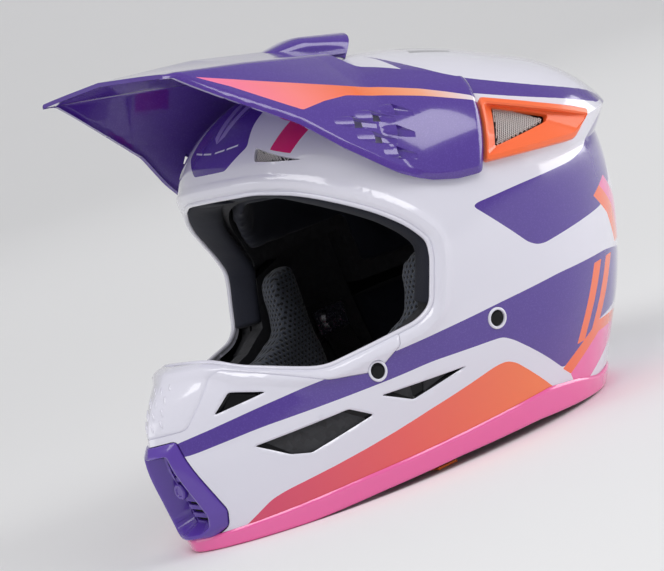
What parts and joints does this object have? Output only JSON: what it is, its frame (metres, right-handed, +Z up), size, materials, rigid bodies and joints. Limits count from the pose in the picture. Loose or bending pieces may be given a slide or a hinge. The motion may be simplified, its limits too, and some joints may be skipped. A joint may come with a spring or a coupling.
{
  "type": "motocross helmet",
  "caption": "Full-face off-road helmet with a tilting peak, vented chin bar, pull-out mouthpiece, slide-out cheek pads and a double D-ring chin strap.",
  "frame": {"origin": "bottom centre of the bounding box: on the surface that the helmet stands on, in its plane of symmetry, half way between the visor's or chin's foremost point and the nape", "axes": "+X to the wearer's left, -Y to the front of the helmet, +Z up, with the helmet standing on its bottom edge"},
  "size_m": [0.2436, 0.3612, 0.277],
  "materials": {
    "painted_shell": "gloss lacquer over white, purple, crimson and orange graphics",
    "white_cover": "gloss white lacquer",
    "pink_rubber": "satin pink moulded trim",
    "impact_foam": "black expanded foam",
    "dark_fabric": "dark navy brushed fabric",
    "mesh_fabric": "charcoal spacer mesh with hexagonal holes",
    "orange_webbing": "orange woven tape",
    "black_plastic": "gloss black moulded plastic",
    "grey_mesh": "grey woven mesh",
    "orange_plastic": "satin orange moulded plastic",
    "painted_visor": "gloss purple with a pink and orange wedge",
    "steel": "plated steel",
    "purple_plastic": "gloss purple moulded plastic",
    "filter_foam": "open-cell black filter foam",
    "black_webbing": "black woven webbing"
  },
  "bodies": {
    "helmet": {"outer_shell": "painted_shell", "chin_cover": "white_cover", "base_trim": "pink_rubber", "eye_port_trim": "white_cover", "crown_impact_liner": "impact_foam", "side_impact_liners": "impact_foam", "chin_impact_liner": "impact_foam", "comfort_liner": "dark_fabric", "brow_pad": "dark_fabric", "neck_roll": "dark_fabric", "chin_vent_inserts": "black_plastic", "side_vent_meshes": "grey_mesh", "brow_vent_meshes": "grey_mesh", "rear_vent_meshes": "grey_mesh", "side_vent_frame_left": "orange_plastic", "side_vent_frame_right": "orange_plastic", "stud_rings": "white_cover", "stud_plugs": "black_plastic", "visor_pivot_pins": "black_plastic", "visor_boss": "black_plastic", "visor_screw": "steel", "strap_rivets": "steel"},
    "visor": {"visor": "painted_visor", "visor_scoop": "painted_visor"},
    "mouthpiece": {"mouthpiece_frame": "purple_plastic", "mouth_grille": "purple_plastic", "mouth_filter": "filter_foam"},
    "cheek_left": {"cheek_block_left": "impact_foam", "cheek_pad_left": "mesh_fabric", "cheek_release_tab_left": "orange_webbing"},
    "cheek_right": {"cheek_block_right": "impact_foam", "cheek_pad_right": "mesh_fabric", "cheek_release_tab_right": "orange_webbing"},
    "chin_strap": {"long_webbing": "black_webbing", "short_webbing": "black_webbing", "strap_anchor_plates": "steel"},
    "ring_outer": {"d_ring_outer": "steel"},
    "ring_inner": {"d_ring_inner": "steel"}
  },
  "joints": [
    {"name": "visor_tilt", "type": "hinge", "parent": "helmet", "child": "visor", "pos_m": [0, 0.03211, 0.186], "axis": [-1, 0, 0], "range_deg": [-3, 4]},
    {"name": "mouthpiece_pull", "type": "slide", "parent": "helmet", "child": "mouthpiece", "axis": [0, -1, 0], "range_m": [0, 0.05]},
    {"name": "cheek_left_release", "type": "slide", "parent": "helmet", "child": "cheek_left", "axis": [-0.342, 0, -0.9397], "range_m": [0, 0.08]},
    {"name": "cheek_right_release", "type": "slide", "parent": "helmet", "child": "cheek_right", "axis": [0.342, 0, -0.9397], "range_m": [0, 0.08]},
    {"name": "chin_strap_swing", "type": "hinge", "parent": "helmet", "child": "chin_strap", "pos_m": [0, 0.04211, 0.08], "axis": [1, 0, 0], "range_deg": [-12, 12]},
    {"name": "ring_outer_swing", "type": "hinge", "parent": "chin_strap", "child": "ring_outer", "pos_m": [-0.061, 0.04211, 0.034], "axis": [0, 1, 0], "range_deg": [-20, 20]},
    {"name": "ring_inner_swing", "type": "hinge", "parent": "chin_strap", "child": "ring_inner", "pos_m": [-0.057, 0.04211, 0.034], "axis": [0, 1, 0], "range_deg": [-20, 20]}
  ],
  "couplings": [
    {"joint": "ring_inner_swing", "follows": "ring_outer_swing", "ratio": 1}
  ]
}
